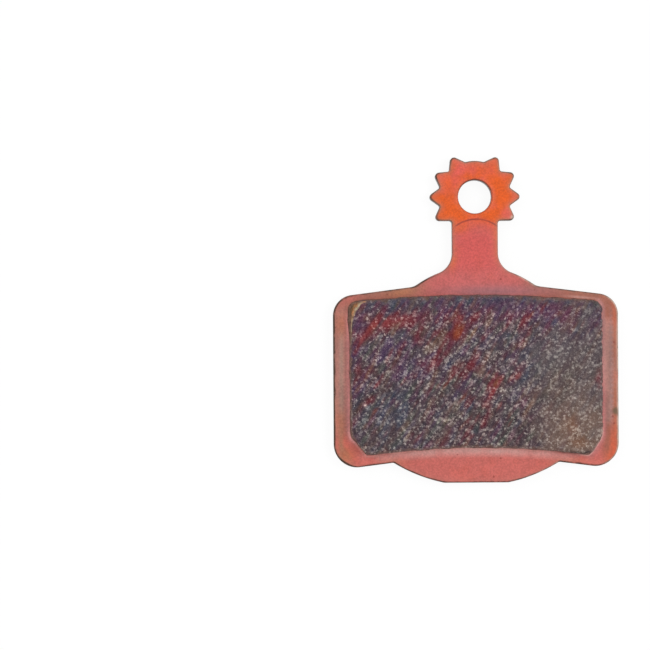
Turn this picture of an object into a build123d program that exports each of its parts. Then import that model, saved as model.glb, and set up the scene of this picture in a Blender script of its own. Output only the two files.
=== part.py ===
# Bicycle disc brake pad: a fine-blanked steel backing plate with a sintered friction block pressed on it.
# Millimetres. The origin is on the plate's back face, on the piston's axis.
# +Y points to the toothed tab, and +Z out of the friction face, which presses on the rotor.

import os
from math import cos, radians, sin, sqrt, tan

from build123d import *

# Plate body
plate_width = 36.5
plate_thickness = 1.9
shoulder_height = 11.38         # upper edges, where their lines would meet, above the piston's axis
foot_depth = 10.8               # lower edges, where their lines would meet, below the piston's axis
edge_slope_angle = 7.2          # upper and lower edges fall outwards by this angle
upper_corner_radius = 2.7
lower_corner_radius = 3.0

# Bulges above and below the body, which back up the piston
piston_bulge_radius = 13.0
piston_bulge_fillet = 1.0
lower_bulge_depth = 14.74       # flat's distance below the piston's axis
lower_bulge_width = 21.2
lower_bulge_radius = 20.0
lower_flat_width = 8.2
lower_bulge_fillet = 0.5

# Stem and toothed tab
stem_width = 5.86
stem_flare_fillet = 2.7
tab_distance = 21.86            # retaining pin's axis above the piston's axis
pin_hole_diameter = 4.28
tooth_pitch_angle = 30.0
tooth_apex_radius = 6.11        # where a tooth's flanks would meet
tooth_root_radius = 4.6         # where two teeth's flanks meet, and the crown between the two top teeth
tooth_tip_fillet = 0.5
tooth_root_fillet = 0.3
tab_neck_fillet = 0.4

# Key holes, which the friction compound fills
key_hole_diameter = 5.44
key_hole_spacing_x = 22.38
key_hole_spacing_y = 8.3
key_hole_centre_y = -0.44       # middle of the four, from the piston's axis

# Blanked edges: the die side, at the back, rolls over, and the front stays crisp
edge_roll_radius = 0.4
hole_roll_width = 0.6
hole_roll_depth = 0.4

# Friction block
block_width = 32.1
block_thickness = 2.1
block_top = 9.28                # upper edge on the axis, above the piston's axis
block_bottom = 10.07            # lower edge on the axis, below the piston's axis
block_top_arc_radius = 160.0
block_bottom_arc_radius = 100.0
block_top_corner_radius = 1.1
block_chamfer_across = 1.7      # lower corners are cut off this far along the lower edge
block_chamfer_up = 2.6          # and this far up the side
block_face_chamfer = 0.15
plug_recess = 0.45              # plug's end above the plate's back face
plug_end_chamfer = 0.5

# Corner of the block that has crumbled away to a slope, at the upper left of the friction face
chip_across = 2.0
chip_down = 4.6
chip_depth = 2.0


def arc_height(crown, radius, x):
    # Height at x of an arc whose highest point is on the axis, at the given crown
    return crown - radius + sqrt(radius**2 - x**2)


def on_circle(radius, angle):
    # Point of a circle about the retaining pin's axis, with the angle in degrees from +X
    return (radius * cos(radians(angle)), tab_distance + radius * sin(radians(angle)))


def round_corners(face, radius, points):
    # The face with a fillet at the corner nearest to each point
    corners = [face.vertices().sort_by_distance((*point, 0))[0] for point in points]
    return fillet(corners, radius).face()


def face_of(edges):
    # Flat face inside a closed run of edges
    return make_face(edges).face()


def with_mirror_image(half):
    # Whole face from its right-hand half, whose mirror image is turned to face the same way
    return (half + -mirror(half, Plane.YZ).face()).face()


def tab_corners():
    # Half of the toothed tab: teeth from the one beside the stem up to the one beside the crown
    tips = [on_circle(tooth_apex_radius, tooth_pitch_angle * step) for step in (-1, 0, 1, 2)]
    roots = [on_circle(tooth_root_radius, tooth_pitch_angle * (step + 0.5)) for step in (-1, 0, 1, 2)]
    return tips, roots


def plate_outline():
    half_width = plate_width / 2
    half_stem = stem_width / 2
    fall = tan(radians(edge_slope_angle))
    tips, roots = tab_corners()

    flat_end = (lower_flat_width / 2, -lower_bulge_depth)
    notch_x = lower_bulge_width / 2
    notch = (notch_x, -foot_depth - fall * notch_x)
    lower_corner = (half_width, -foot_depth - fall * half_width)
    upper_corner = (half_width, shoulder_height - fall * half_width)
    # The bulge's circle crosses the shoulder's line here
    slant = 1 + fall**2
    meet_x = (shoulder_height * fall + sqrt(slant * piston_bulge_radius**2 - shoulder_height**2)) / slant
    bulge_end = (meet_x, shoulder_height - fall * meet_x)
    stem_foot = (half_stem, sqrt(piston_bulge_radius**2 - half_stem**2))
    # The flare can't be larger than the stretch of bulge that it runs out on
    flare = min(stem_flare_fillet, 0.9 * (meet_x - half_stem))
    neck = (half_stem, tips[0][1])
    crown = (0, tab_distance + tooth_root_radius)

    teeth = [point for pair in zip(tips, roots) for point in pair]
    edges = [
        Line((0, -lower_bulge_depth), flat_end),
        RadiusArc(flat_end, notch, -lower_bulge_radius),
        Polyline(notch, lower_corner, upper_corner, bulge_end),
        RadiusArc(bulge_end, stem_foot, -piston_bulge_radius),
        Polyline(stem_foot, neck, *teeth),
        RadiusArc(roots[-1], crown, -tooth_root_radius),
        Line(crown, (0, -lower_bulge_depth)),
    ]
    half = face_of(edges)
    half = round_corners(half, upper_corner_radius, [upper_corner])
    half = round_corners(half, lower_corner_radius, [lower_corner])
    half = round_corners(half, piston_bulge_fillet, [bulge_end])
    half = round_corners(half, flare, [stem_foot])
    half = round_corners(half, lower_bulge_fillet, [notch])
    half = round_corners(half, tab_neck_fillet, [neck])
    half = round_corners(half, tooth_tip_fillet, tips)
    half = round_corners(half, tooth_root_fillet, roots)
    return with_mirror_image(half)


def key_hole_places():
    across = key_hole_spacing_x / 2
    up = key_hole_spacing_y / 2
    return [(x, key_hole_centre_y + y) for x in (-across, across) for y in (-up, up)]


def rim_cone(hole_radius):
    # Cone that opens a hole's back rim, where the metal is drawn in wider than deep
    from_back = (Align.CENTER, Align.CENTER, Align.MIN)
    return Cone(hole_radius + hole_roll_width, hole_radius, hole_roll_depth, align=from_back)


def make_backing_plate():
    outline = plate_outline()
    pin_hole = Pos(0, tab_distance) * Circle(pin_hole_diameter / 2)
    key_holes = [Pos(x, y) * Circle(key_hole_diameter / 2) for x, y in key_hole_places()]
    plate = extrude(outline - [pin_hole] - key_holes, plate_thickness)

    # A rolled edge can't be larger than the rounding of the tooth tips that it runs round
    roll = min(edge_roll_radius, 0.85 * tooth_tip_fillet)
    back = plate.faces().sort_by(Axis.Z)[0]
    plate = fillet(back.outer_wire().edges(), roll)
    plate -= Pos(0, tab_distance) * rim_cone(pin_hole_diameter / 2)
    return plate - [Pos(x, y) * rim_cone(key_hole_diameter / 2) for x, y in key_hole_places()]


def block_outline():
    half_width = block_width / 2
    chamfer_start = (half_width - block_chamfer_across,
                     arc_height(-block_bottom, block_bottom_arc_radius, half_width - block_chamfer_across))
    chamfer_end = (half_width, arc_height(-block_bottom, block_bottom_arc_radius, half_width) + block_chamfer_up)
    top_corner = (half_width, arc_height(block_top, block_top_arc_radius, half_width))
    edges = [
        RadiusArc((0, -block_bottom), chamfer_start, block_bottom_arc_radius),
        Line(chamfer_start, chamfer_end),
        Line(chamfer_end, top_corner),
        RadiusArc(top_corner, (0, block_top), -block_top_arc_radius),
        Line((0, block_top), (0, -block_bottom)),
    ]
    half = round_corners(face_of(edges), block_top_corner_radius, [top_corner])
    return with_mirror_image(half)


def chip_plane():
    # Plane through the chip's two ends on the friction face and a point below the corner between them
    face_z = plate_thickness + block_thickness
    corner_x = -block_width / 2
    corner_y = arc_height(block_top, block_top_arc_radius, corner_x)
    along_top = Vector(corner_x + chip_across, corner_y, face_z)
    along_side = Vector(corner_x, corner_y - chip_down, face_z)
    below_corner = Vector(corner_x, corner_y, face_z - chip_depth)
    normal = (along_side - along_top).cross(below_corner - along_top)
    return Plane(origin=along_top, x_dir=along_side - along_top, z_dir=normal)


def make_friction_block():
    block = extrude(Pos(0, 0, plate_thickness) * block_outline(), block_thickness)
    face = block.faces().sort_by(Axis.Z)[-1]
    block = chamfer(face.outer_wire().edges(), block_face_chamfer)
    block = split(block, bisect_by=chip_plane(), keep=Keep.TOP)

    plug_length = plate_thickness - plug_recess
    plug = extrude(Pos(0, 0, plug_recess) * Circle(key_hole_diameter / 2), plug_length)
    plug_end = plug.faces().sort_by(Axis.Z)[0]
    plug = chamfer(plug_end.edges(), plug_end_chamfer)
    return block + [Pos(x, y) * plug for x, y in key_hole_places()]


os.makedirs("parts", exist_ok=True)
export_step(make_backing_plate(), "parts/backing_plate.step")
export_step(make_friction_block(), "parts/friction_block.step")
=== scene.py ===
import bpy
import numpy as np
from mathutils.geometry import delaunay_2d_cdt
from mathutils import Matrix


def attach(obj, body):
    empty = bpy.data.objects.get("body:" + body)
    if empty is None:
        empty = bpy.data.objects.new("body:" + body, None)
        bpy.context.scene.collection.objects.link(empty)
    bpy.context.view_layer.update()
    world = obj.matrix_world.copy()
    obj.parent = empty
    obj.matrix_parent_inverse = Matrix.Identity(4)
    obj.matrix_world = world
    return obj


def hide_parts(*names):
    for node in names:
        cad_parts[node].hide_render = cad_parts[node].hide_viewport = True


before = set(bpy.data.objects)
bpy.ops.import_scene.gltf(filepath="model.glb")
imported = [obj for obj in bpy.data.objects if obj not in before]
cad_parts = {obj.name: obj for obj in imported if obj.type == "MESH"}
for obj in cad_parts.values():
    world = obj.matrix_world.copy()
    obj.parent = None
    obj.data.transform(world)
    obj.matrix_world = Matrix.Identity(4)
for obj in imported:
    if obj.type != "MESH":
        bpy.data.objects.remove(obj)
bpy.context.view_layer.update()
scene = bpy.context.scene
mm = 0.001                     # values below are in millimetres, the model is in metres
print("frame:", ", ".join(sorted(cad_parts)))


# Noise and masks

lattice = {"step": 0.08, "points": 512}      # grid that noise is worked out on
slices = 24                                  # large tables of distances are worked out in this many parts
closeness = 1e-7                             # points nearer than this are one point to a fill
grindAngle = 57                              # direction of the grinding on the friction face


def noiseField(seed, along, across, angle):
    # White noise softened by a turned Gaussian: its spectrum is multiplied by
    # exp(-2 pi^2 (along^2 fa^2 + across^2 fb^2)), then brought to mean 0 and spread 1
    size = (lattice["points"], lattice["points"])
    white = np.random.default_rng(seed).standard_normal(size)
    fy = np.fft.fftfreq(size[0], lattice["step"])[:, None]
    fx = np.fft.rfftfreq(size[1], lattice["step"])[None, :]
    turn = np.radians(angle)
    fa = fx * np.cos(turn) + fy * np.sin(turn)
    fb = fy * np.cos(turn) - fx * np.sin(turn)
    soften = np.exp(-2 * np.pi ** 2 * ((along * fa) ** 2 + (across * fb) ** 2))
    values = np.fft.irfft2(np.fft.rfft2(white) * soften, s=size)
    return (values - values.mean()) / values.std()


def readField(values, x, y):
    # Bilinear reading at millimetre positions; the field repeats beyond its edges
    count = lattice["points"]
    gx = x / lattice["step"]
    gy = y / lattice["step"]
    ix = np.floor(gx).astype(int)
    iy = np.floor(gy).astype(int)
    tx = gx - ix
    ty = gy - iy
    left, right = ix % count, (ix + 1) % count
    below, above = iy % count, (iy + 1) % count
    low = values[below, left] * (1 - tx) + values[below, right] * tx
    high = values[above, left] * (1 - tx) + values[above, right] * tx
    return low * (1 - ty) + high * ty


def noiseAt(x, y, seed, along, across=None, angle=0.0):
    # Seeded noise at millimetre positions, as soft across as along unless across is given
    return readField(noiseField(seed, along, along if across is None else across, angle), x, y)


def ease(low, high, value):
    # 3 t^2 - 2 t^3, with t from 0 at low to 1 at high
    t = np.clip((value - low) / (high - low), 0, 1)
    return t * t * (3 - 2 * t)


def fade(low, high, value):
    # The other way round: 1 up to low, 0 from high on
    return 1 - ease(low, high, value)


def span(rise, full, fall, gone, value):
    # Rises from 0 to 1 between its first two bounds and falls back between its last two
    return ease(rise, full, value) * fade(fall, gone, value)


def band(centre, width, value):
    # Soft stripe, exp(-((value - centre) / width)^2)
    return np.exp(-((value - centre) / width) ** 2)


def patch(x, y, centre, size, angle=0.0):
    # Turned Gaussian, 1 at its centre, falling off over its two sizes
    turn = np.radians(angle)
    dx = x - centre[0]
    dy = y - centre[1]
    a = dx * np.cos(turn) + dy * np.sin(turn)
    b = dy * np.cos(turn) - dx * np.sin(turn)
    return np.exp(-0.5 * ((a / size[0]) ** 2 + (b / size[1]) ** 2))


def patches(x, y, rows):
    # Sum of patches, each a row of centre x and y, two sizes, angle and weight
    return sum(row[5] * patch(x, y, row[:2], row[2:4], row[4]) for row in rows)


# Paths

arcStep = 0.02                 # spacing of an arc's points before a path is evened out


def unit(vector):
    # A vector divided by its length
    vector = np.asarray(vector, float)
    return vector / np.linalg.norm(vector)


def arcBetween(centre, first, last, turn):
    # Circle arc about a centre from one point to another, turn 1 is counter-clockwise and -1 clockwise
    centre = np.asarray(centre, float)
    start = np.arctan2(*(np.asarray(first) - centre)[::-1])
    end = np.arctan2(*(np.asarray(last) - centre)[::-1])
    sweep = np.mod((end - start) * turn, 2 * np.pi)
    radius = np.linalg.norm(np.asarray(first) - centre)
    angle = start + turn * np.linspace(0, sweep, int(sweep * radius / arcStep) + 3)
    return centre + radius * np.column_stack((np.cos(angle), np.sin(angle)))


def roundCorner(before, corner, after, radius):
    # Arc that touches both straight runs of a corner; its centre lies on the bisector
    corner = np.asarray(corner, float)
    u = unit(np.asarray(before) - corner)
    v = unit(np.asarray(after) - corner)
    half = np.arccos(np.clip(u @ v, -1, 1)) / 2
    reach = radius / np.tan(half)
    centre = corner + unit(u + v) * radius / np.sin(half)
    turn = -np.sign(u[0] * v[1] - u[1] * v[0])
    return arcBetween(centre, corner + u * reach, corner + v * reach, turn)


def bayCorner(circleCentre, circleRadius, point, direction, side, radius):
    # Arc in the bay between a circle and a line, touching both from outside:
    # its centre is circleRadius + radius from the circle's centre and radius from the line
    circleCentre = np.asarray(circleCentre, float)
    direction = unit(direction)
    side = unit(side)
    q = np.asarray(point, float) + radius * side - circleCentre
    b = q @ direction
    t = -b + np.sqrt(b * b - q @ q + (circleRadius + radius) ** 2)
    centre = circleCentre + q + t * direction
    onCircle = circleCentre + (centre - circleCentre) * circleRadius / (circleRadius + radius)
    return centre, onCircle, centre - radius * side


def evenPath(points, step):
    # The same path with points evenly spaced along its length
    lengths = np.concatenate(([0], np.cumsum(np.linalg.norm(np.diff(points, axis=0), axis=1))))
    wanted = np.linspace(0, lengths[-1], int(lengths[-1] / step) + 1)
    return np.column_stack([np.interp(wanted, lengths, points[:, axis]) for axis in (0, 1)])


def outwardNormals(path):
    # Right-hand normals of a closed path, from the chord between each point's two neighbours
    chord = np.roll(path, -1, 0) - np.roll(path, 1, 0)
    chord /= np.linalg.norm(chord, axis=1)[:, None]
    return np.column_stack((chord[:, 1], -chord[:, 0]))


def circlePath(centre, radius, count):
    # Clockwise circle, so that its right-hand normals point to its centre
    angle = -np.linspace(0, 2 * np.pi, count, endpoint=False)
    return np.column_stack((centre[0] + radius * np.cos(angle), centre[1] + radius * np.sin(angle)))


def nearest(points, path):
    # Distance from each point to the nearest point of a path, and that point's number
    gaps = []
    numbers = []
    for part in np.array_split(points, slices):
        square = ((part[:, None, :] - path[None]) ** 2).sum(2)
        gaps.append(np.sqrt(square.min(1)))
        numbers.append(square.argmin(1))
    return np.concatenate(gaps), np.concatenate(numbers)


def insideLoops(points, loops):
    # Even-odd rule: a point is inside if a ray from it crosses the loops an odd number of times
    crossings = np.zeros(len(points), int)
    for loop in loops:
        nextPoint = np.roll(loop, -1, 0)
        rise = nextPoint[:, 1] - loop[:, 1]
        rise[rise == 0] = 1e-12        # a level edge is never crossed, this only avoids dividing by 0
        slope = (nextPoint[:, 0] - loop[:, 0]) / rise
        parts = []
        for part in np.array_split(points, slices):
            above = loop[None, :, 1] > part[:, None, 1]
            across = above != (nextPoint[None, :, 1] > part[:, None, 1])
            meet = loop[None, :, 0] + (part[:, None, 1] - loop[None, :, 1]) * slope[None]
            parts.append((across & (part[:, None, 0] < meet)).sum(1))
        crossings += np.concatenate(parts)
    return crossings % 2 == 1


def innerGrid(loops, spacing, clear):
    # Points in staggered rows inside the loops, at least the clear share of their spacing away from them
    every = np.concatenate(loops)
    low, high = every.min(0), every.max(0)
    x, y = np.meshgrid(np.arange(low[0], high[0], spacing), np.arange(low[1], high[1], spacing))
    x[1::2] += spacing / 2
    points = np.column_stack((x.ravel(), y.ravel()))
    points = points[insideLoops(points, loops)]
    return points[nearest(points, every)[0] > clear * spacing]


def ring(values):
    # Border of a grid, counter-clockwise from its lower left corner
    return np.concatenate((values[0, :-1], values[:-1, -1], values[-1, :0:-1], values[:0:-1, 0]))


# Meshes

class Shell:
    # Points and faces of one piece, gathered part by part
    def __init__(self):
        self.points = []
        self.quads = []
        self.triangles = []
        self.count = 0

    def add(self, points):
        # New points; gives their numbers
        first = self.count
        self.points.append(points)
        self.count += len(points)
        return np.arange(first, self.count)

    def addGrid(self, grid):
        # The points of a grid; gives their numbers as a grid
        return self.add(grid.reshape(-1, 3)).reshape(grid.shape[:2])

    def joinRows(self, index, closed):
        # Quads between neighbouring rows and columns of a grid of point numbers
        right = np.roll(index, -1, 1)
        here, low, lowRight, upRight = index[:-1], index[1:], right[1:], right[:-1]
        keep = slice(None) if closed else slice(None, -1)
        self.quads.append(np.stack((here, low, lowRight, upRight), 2)[:, keep].reshape(-1, 4))

    def fill(self, loops, inner, height, up):
        # Flat face between closed loops of point numbers, with free points inside,
        # joined by Delaunay triangles that keep the loops as edges
        known = np.concatenate(self.points)
        numbers = np.concatenate(loops)
        flat = known[numbers, :2]
        edges = []
        first = 0
        for loop in loops:
            own = np.arange(first, first + len(loop))
            edges.append(np.column_stack((own, np.roll(own, -1))))
            first += len(loop)
        if len(inner):
            added = self.add(np.column_stack((inner, np.full(len(inner), height))))
            numbers = np.concatenate((numbers, added))
            flat = np.concatenate((flat, inner))
        edges = np.concatenate(edges).tolist()
        joined = np.array(delaunay_2d_cdt(flat.tolist(), edges, [], 1, closeness)[2])
        inside = insideLoops(flat[joined].mean(1), [known[loop, :2] for loop in loops])
        faces = numbers[joined[inside]]
        self.triangles.append(faces if up else faces[:, ::-1])

    def makePiece(self, name):
        # An object of all points and faces; gives it and its points
        points = np.concatenate(self.points)
        quads = np.concatenate(self.quads)
        triangles = np.concatenate(self.triangles)
        corners = np.concatenate((quads.ravel(), triangles.ravel()))
        starts = np.concatenate((np.arange(len(quads)) * 4, len(quads) * 4 + np.arange(len(triangles)) * 3))
        mesh = bpy.data.meshes.new(name)
        mesh.vertices.add(len(points))
        mesh.vertices.foreach_set("co", (points * mm).astype(np.float32).ravel())
        mesh.loops.add(len(corners))
        mesh.loops.foreach_set("vertex_index", corners.astype(np.int32))
        mesh.polygons.add(len(starts))
        mesh.polygons.foreach_set("loop_start", starts.astype(np.int32))
        mesh.polygons.foreach_set("use_smooth", np.ones(len(starts), bool))
        mesh.update(calc_edges=True)
        mesh.validate()
        piece = bpy.data.objects.new(name, mesh)
        scene.collection.objects.link(piece)
        print(name + ":", len(points), "points,", 2 * len(quads) + len(triangles), "triangles")
        return piece, points


def giveMasks(piece, masks):
    # Numbers from 0 to 1 at each point of a piece, for its material to read by name
    for name, values in masks.items():
        made = piece.data.attributes.new(name, "FLOAT", "POINT")
        made.data.foreach_set("value", np.clip(values, 0, 1).astype(np.float32))


# Backing plate

plate = {
    "width": 36.5, "thickness": 1.9,
    "shoulderHeight": 11.38, "footDepth": 10.8, "slope": 7.2,
    "upperCorner": 2.7, "lowerCorner": 3.0,
    "bulgeRadius": 13.0, "bulgeFillet": 2.2,
    "lowerDepth": 14.74, "lowerWidth": 21.2, "lowerRadius": 20.0, "lowerFlat": 8.2, "lowerFillet": 0.5,
    "stemWidth": 5.86, "stemFlare": 2.7,
    "tabDistance": 21.86, "pinHole": 4.28, "toothPitch": 30.0, "toothApex": 6.11, "toothRoot": 4.6,
    "tipFillet": 0.5, "rootFillet": 0.3, "neckFillet": 0.4,
    "keyHole": 5.44, "keySpacingX": 22.38, "keySpacingY": 8.3, "keyCentreY": -0.44,
    "frontRound": 0.17, "frontWander": 0.035, "wanderSize": 0.5, "wanderLimit": 1.6,
    "frontRows": (0.46, 0.4, 0.34, 0.28, 0.23), "frontSteps": 6,
    "backRoll": 0.4, "backSteps": 8, "shearDepth": 0.012, "wallShares": (0.75, 0.5, 0.25),
    "holeRound": 0.09, "holeRows": (0.25,), "holeSteps": 5,
    "holeRollWidth": 0.6, "holeRollDepth": 0.4, "holeRollSteps": 9, "holeShares": (0.7, 0.45, 0.2),
    "outlineStep": 0.11, "pinPoints": 132, "keyPoints": 150,
    "faceSpacing": 0.34, "rimClear": 0.7, "footClear": 0.6,
    "footStep": 0.16, "footRows": (-0.1, 0.0, 0.07, 0.14, 0.22, 0.32, 0.45, 0.6),
}


def toothPoint(radius, steps):
    # Point of a circle about the pin hole, so many tooth pitches up from +X
    angle = np.radians(plate["toothPitch"] * steps)
    return np.array([radius * np.cos(angle), plate["tabDistance"] + radius * np.sin(angle)])


def plateOutline():
    # Right half from the foot's middle to the tab's crown, lines and arcs end to end, then its mirror image
    fall = np.tan(np.radians(plate["slope"]))
    half = plate["width"] / 2
    stem = plate["stemWidth"] / 2
    along = (1, -fall)
    tab = np.array([0, plate["tabDistance"]])
    tips = [toothPoint(plate["toothApex"], step) for step in (-1, 0, 1, 2)]
    roots = [toothPoint(plate["toothRoot"], step + 0.5) for step in (-1, 0, 1, 2)]

    flatEnd = np.array([plate["lowerFlat"] / 2, -plate["lowerDepth"]])
    notch = np.array([plate["lowerWidth"] / 2, -plate["footDepth"] - fall * plate["lowerWidth"] / 2])
    chord = notch - flatEnd
    reach = np.sqrt(plate["lowerRadius"] ** 2 - chord @ chord / 4)
    lowCentre = (flatEnd + notch) / 2 + reach * unit((-chord[1], chord[0]))
    lowerCorner = np.array([half, -plate["footDepth"] - fall * half])
    upperCorner = np.array([half, plate["shoulderHeight"] - fall * half])
    neck = np.array([stem, tips[0][1]])

    notchCentre, notchOn, notchEnd = bayCorner(
        lowCentre, plate["lowerRadius"], notch, along, (-fall, -1), plate["lowerFillet"])
    bulgeCentre, bulgeOn, bulgeEnd = bayCorner(
        (0, 0), plate["bulgeRadius"], (0, plate["shoulderHeight"]), along, (fall, 1), plate["bulgeFillet"])
    flareCentre, flareOn, flareEnd = bayCorner(
        (0, 0), plate["bulgeRadius"], (stem, 0), (0, 1), (1, 0), plate["stemFlare"])
    flank = unit(tips[-1] - roots[-1])
    crownCentre, crownOn, crownEnd = bayCorner(
        tab, plate["toothRoot"], roots[-1], flank, (-flank[1], flank[0]), plate["rootFillet"])
    corners = [flareEnd, neck] + [point for pair in zip(tips, roots) for point in pair]
    radii = [plate["neckFillet"]] + [plate["tipFillet"], plate["rootFillet"]] * len(tips)
    teeth = [roundCorner(*corners[i:i + 3], radii[i]) for i in range(len(corners) - 2)]
    rightHalf = np.concatenate([
        [(0, -plate["lowerDepth"])],
        arcBetween(lowCentre, flatEnd, notchOn, 1),
        arcBetween(notchCentre, notchOn, notchEnd, -1),
        roundCorner(notchEnd, lowerCorner, upperCorner, plate["lowerCorner"]),
        roundCorner(lowerCorner, upperCorner, bulgeEnd, plate["upperCorner"]),
        arcBetween(bulgeCentre, bulgeEnd, bulgeOn, -1),
        arcBetween((0, 0), bulgeOn, flareOn, 1),
        arcBetween(flareCentre, flareOn, flareEnd, -1),
        *teeth,
        arcBetween(crownCentre, crownEnd, crownOn, -1),
        arcBetween(tab, crownOn, tab + (0, plate["toothRoot"]), 1),
    ])
    rightHalf = evenPath(rightHalf, plate["outlineStep"])
    leftHalf = rightHalf[::-1] * (-1, 1)
    return np.concatenate((rightHalf[:-1], leftHalf[:-1]))


def keyPlaces():
    # Centres of the four key holes, at the corners of a rectangle
    across = plate["keySpacingX"] / 2
    up = plate["keySpacingY"] / 2
    return [(x, plate["keyCentreY"] + y) for x in (-across, across) for y in (-up, up)]


def shearLines(path):
    # One number per point of a path, for the lines that the punch leaves down the wall: each
    # point's own noise and half of its neighbour's, brought to spread 1
    values = np.random.default_rng(12).standard_normal(len(path))
    values = values + 0.5 * np.roll(values, 1)
    return values / values.std()


def edgeProfile(flat, radius, steps, shares, marks, rollWidth, rollDepth, rollSteps, count):
    # From the front face over a rounding, down the wall and round a roll at the back: insets r (1 - sin a),
    # marks and w (1 - cos b), at heights t - r (1 - cos a), shares of the wall and d (1 - sin b)
    thick = plate["thickness"]
    ones = np.ones((1, count))
    flat = np.array(flat)[:, None]
    lean = np.radians(np.linspace(0, 90, steps))[:, None]
    wall = rollDepth + (thick - rollDepth) * np.array(shares)[:, None]
    roll = np.radians(np.linspace(0, 90, rollSteps))[:, None]
    insets = (flat * ones, radius * (1 - np.sin(lean)) * ones, 0 * wall + marks * ones,
              rollWidth * (1 - np.cos(roll)) * ones)
    heights = (0 * flat + thick * ones, thick - radius * (1 - np.cos(lean)) * ones, wall * ones,
               rollDepth * (1 - np.sin(roll)) * ones)
    return np.concatenate(insets), np.concatenate(heights)


def outlineProfile(path):
    # The plate's own edge: a worn rounding of wandering size, shear lines on the wall and a round back roll
    wander = np.clip(noiseAt(*path.T, 11, plate["wanderSize"]), -plate["wanderLimit"], plate["wanderLimit"])
    radius = plate["frontRound"] + plate["frontWander"] * wander
    marks = plate["shearDepth"] * np.clip(shearLines(path), 0, 2)
    return edgeProfile(plate["frontRows"], radius, plate["frontSteps"], plate["wallShares"], marks,
                       plate["backRoll"], plate["backRoll"], plate["backSteps"], len(path))


def holeProfile(path):
    # A hole's edge: small front rounding, straight wall, and a wide shallow roll at the back
    return edgeProfile(plate["holeRows"], plate["holeRound"], plate["holeSteps"], plate["holeShares"], 0.0,
                       plate["holeRollWidth"], plate["holeRollDepth"], plate["holeRollSteps"], len(path))


def carryEdge(shell, path, insets, heights):
    # A profile carried along a closed path; an inset is measured against the outward normal
    xy = path[None] - insets[..., None] * outwardNormals(path)[None]
    index = shell.addGrid(np.concatenate((xy, heights[..., None]), 2))
    shell.joinRows(index, True)
    return index


def footRings(path):
    # Copies of the block's outline, evenly spaced and moved out by each of a few offsets
    path = evenPath(np.concatenate((path, path[:1])), plate["footStep"])[:-1]
    outward = outwardNormals(path)
    return np.concatenate([path + offset * outward for offset in plate["footRows"]])


def buildPlate(blockOutline):
    # Edges carried along the outline and round the holes, and both faces filled in between them; the front
    # has finer points along the block's foot, where narrow lines of colour run
    outline = plateOutline()
    shell = Shell()
    rims = [carryEdge(shell, outline, *outlineProfile(outline))]
    holes = [((0, plate["tabDistance"]), plate["pinHole"], plate["pinPoints"])]
    holes += [(place, plate["keyHole"], plate["keyPoints"]) for place in keyPlaces()]
    for centre, diameter, count in holes:
        path = circlePath(centre, diameter / 2, count)
        rims.append(carryEdge(shell, path, *holeProfile(path)))
    rimPoints = np.concatenate(shell.points)
    foot = footRings(blockOutline)
    for row, height, up in ((0, plate["thickness"], True), (-1, 0.0, False)):
        loops = [rim[row] for rim in rims]
        inner = innerGrid([rimPoints[loop, :2] for loop in loops], plate["faceSpacing"], plate["rimClear"])
        if up:
            inner = inner[nearest(inner, foot)[0] > plate["footClear"] * plate["faceSpacing"]]
            inner = np.concatenate((inner, foot))
        shell.fill(loops, inner, height, up)
    return *shell.makePiece("backingPlate"), outline


# Friction block

block = {
    "width": 32.1, "base": 1.9, "face": 4.0, "thinnest": 0.05,
    "top": 9.22, "bottom": -10.18, "topArc": 160.0, "bottomArc": 100.0, "topCorner": 1.1,
    "rightCut": (1.6, 2.6), "leftCut": (2.05, 2.9), "cutRound": 0.3, "cutCurl": 8.0, "curlReach": 0.25,
    "chipAcross": 1.95, "chipDown": 6.4, "chipDepth": 2.0, "chipBow": 0.54,
    "chipWave": 0.05, "chipRough": 0.05,
    "columnStep": 0.1, "cornerColumns": 14, "rows": 194, "wallRows": 9,
    "ragged": 0.09, "bite": 0.35, "lowSeed": 21, "highSeed": 23, "sideSeed": 25, "sideFade": 40,
    "notchX": 14.1, "notchDepth": 0.22, "notchWidth": 0.35,
    "wornTop": 0.1, "wornSpan": (4.0, 8.0, 13.0, 15.0),
    "grainDepth": 0.045, "grindDepth": 0.012, "faceRound": 0.16, "roundReach": 0.4,
    "wallRough": 0.07, "footFlare": 0.1, "flareWander": 0.35,
    "chipFlare": 0.2, "chipCorner": (-16.05, 7.0), "flareSize": (0.8, 1.9),
    "plugRecess": 0.45, "plugChamfer": 0.5, "plugGap": 0.01, "plugStraight": 1.4, "plugBend": (0.22, 0.24),
    "plugPole": 0.06, "plugRings": 22, "plugPoints": 110, "plugSeed": 61,
    "plugLump": 0.075, "plugGrain": 0.05, "plugSink": 0.18,
}


def arcAt(crown, radius, x):
    # Height at x of a circle arc whose highest point is on the axis
    return crown - radius + np.sqrt(radius ** 2 - x ** 2)


def blockTop(x):
    # Shallow arc, rounded off to the sides
    over = np.clip(np.abs(x) - block["width"] / 2 + block["topCorner"], 0, block["topCorner"])
    drop = block["topCorner"] - np.sqrt(block["topCorner"] ** 2 - over ** 2)
    return arcAt(block["top"], block["topArc"], x) - drop


def blockBottom(x):
    # Shallow arc, cut off at the lower corners, further at the worn left one: the higher of arc and cut,
    # with the bend rounded as (a + b + sqrt((a - b)^2 + r^2)) / 2, and the cut's upper end curving up
    # into the side
    half = block["width"] / 2
    across = np.where(x < 0, block["leftCut"][0], block["rightCut"][0])
    up = np.where(x < 0, block["leftCut"][1], block["rightCut"][1])
    arc = arcAt(block["bottom"], block["bottomArc"], x)
    start = arcAt(block["bottom"], block["bottomArc"], half - across)
    end = arcAt(block["bottom"], block["bottomArc"], half) + up
    cut = start + (np.abs(x) - half + across) * (end - start) / across
    cut = cut + block["cutCurl"] * np.clip(np.abs(x) - half + block["curlReach"], 0, None) ** 2
    return (arc + cut + np.sqrt((arc - cut) ** 2 + block["cutRound"] ** 2)) / 2


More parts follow.
